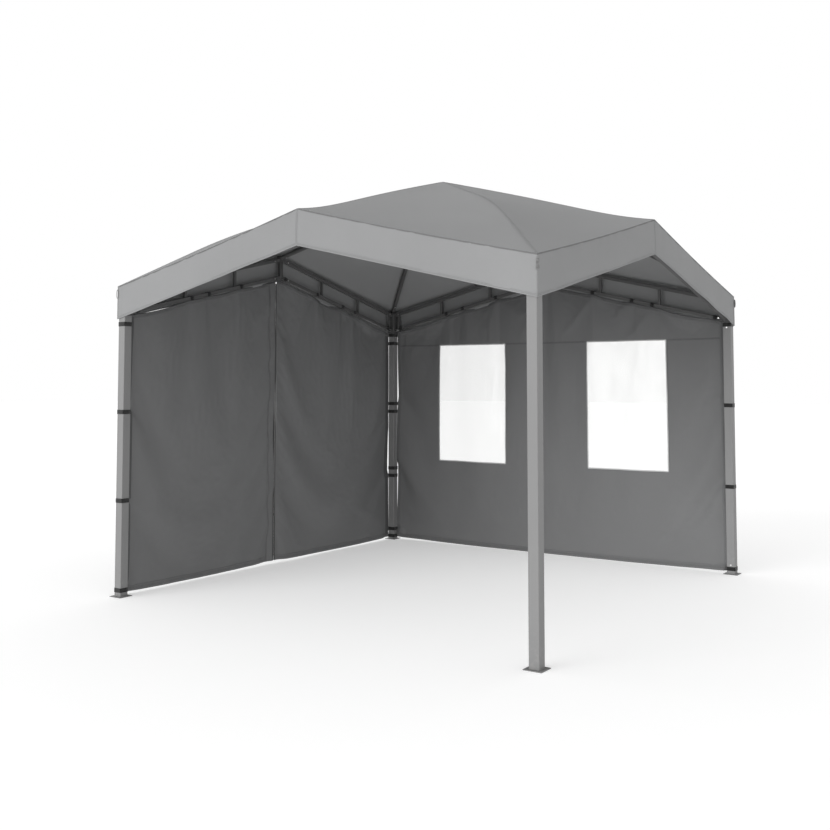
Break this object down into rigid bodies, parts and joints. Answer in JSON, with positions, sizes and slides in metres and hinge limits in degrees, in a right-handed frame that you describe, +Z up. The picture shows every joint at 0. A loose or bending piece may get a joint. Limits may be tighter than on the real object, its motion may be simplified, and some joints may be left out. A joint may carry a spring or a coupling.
{
  "type": "garden pavilion with side walls",
  "caption": "Square garden pavilion: a four-gable cloth roof on a steel frame with square legs and ladder trusses, one wall with clear windows and one zipped wall.",
  "frame": {"origin": "on the ground at the middle of the plan", "axes": "+Z up, -Y the open front, +X the open right side, +Y the window wall, -X the zipped wall"},
  "size_m": [3.042, 3.042, 2.7145],
  "materials": {
    "frame_steel": "satin",
    "fastener_steel": "satin",
    "roof_cloth": "matte",
    "wall_cloth": "matte",
    "grey_webbing": "matte",
    "black_webbing": "matte",
    "window_film": "gloss",
    "zip_tape": "matte",
    "zip_metal": "satin"
  },
  "bodies": {
    "frame": {"foot_front_right": "frame_steel", "foot_back_right": "frame_steel", "foot_back_left": "frame_steel", "foot_front_left": "frame_steel", "leg_front_right": "frame_steel", "leg_back_right": "frame_steel", "leg_back_left": "frame_steel", "leg_front_left": "frame_steel", "corner_joint_front_right": "frame_steel", "corner_joint_back_right": "frame_steel", "corner_joint_back_left": "frame_steel", "corner_joint_front_left": "frame_steel", "gable_joint_front": "frame_steel", "gable_joint_right": "frame_steel", "gable_joint_back": "frame_steel", "gable_joint_left": "frame_steel", "truss_front_right_half": "frame_steel", "truss_front_left_half": "frame_steel", "truss_right_back_half": "frame_steel", "truss_right_front_half": "frame_steel", "truss_back_left_half": "frame_steel", "truss_back_right_half": "frame_steel", "truss_left_front_half": "frame_steel", "truss_left_back_half": "frame_steel", "hip_rafter_front_right": "frame_steel", "hip_rafter_back_right": "frame_steel", "hip_rafter_back_left": "frame_steel", "hip_rafter_front_left": "frame_steel", "ridge_rafter_front": "frame_steel", "ridge_rafter_right": "frame_steel", "ridge_rafter_back": "frame_steel", "ridge_rafter_left": "frame_steel", "apex_hub": "frame_steel", "foot_screws": "fastener_steel", "corner_screws": "fastener_steel", "gable_screws": "fastener_steel", "apex_screws": "fastener_steel", "canopy_roof": "roof_cloth", "canopy_valance": "roof_cloth", "guy_loops": "grey_webbing", "window_wall": "wall_cloth", "window_left": "window_film", "window_right": "window_film", "window_wall_ties": "black_webbing", "straps_window_wall_left": "black_webbing", "straps_window_wall_right": "black_webbing", "zip_wall_ties": "black_webbing", "straps_front_leaf": "black_webbing", "straps_back_leaf": "black_webbing"},
    "front_leaf": {"front_leaf": "wall_cloth", "zip_facing": "wall_cloth", "zip_half_front": "zip_tape"},
    "back_leaf": {"back_leaf": "wall_cloth", "zip_half_back": "zip_tape"},
    "zip_slider": {"zip_slider": "zip_metal"},
    "zip_pull": {"zip_pull": "zip_metal"}
  },
  "joints": [
    {"name": "front_leaf_swing", "type": "hinge", "parent": "frame", "child": "front_leaf", "pos_m": [-1.495, -1.436, 1], "axis": [0, 0, -1], "range_deg": [0, 85]},
    {"name": "back_leaf_swing", "type": "hinge", "parent": "frame", "child": "back_leaf", "pos_m": [-1.495, 1.436, 1], "axis": [0, 0, 1], "range_deg": [0, 85]},
    {"name": "zip_slide", "type": "slide", "parent": "front_leaf", "child": "zip_slider", "axis": [0, 0, 1], "range_m": [0, 2.001]},
    {"name": "pull_swing", "type": "hinge", "parent": "zip_slider", "child": "zip_pull", "pos_m": [-1.503, -0.026, 0.084], "axis": [0, 1, 0], "range_deg": [0, 160]}
  ]
}
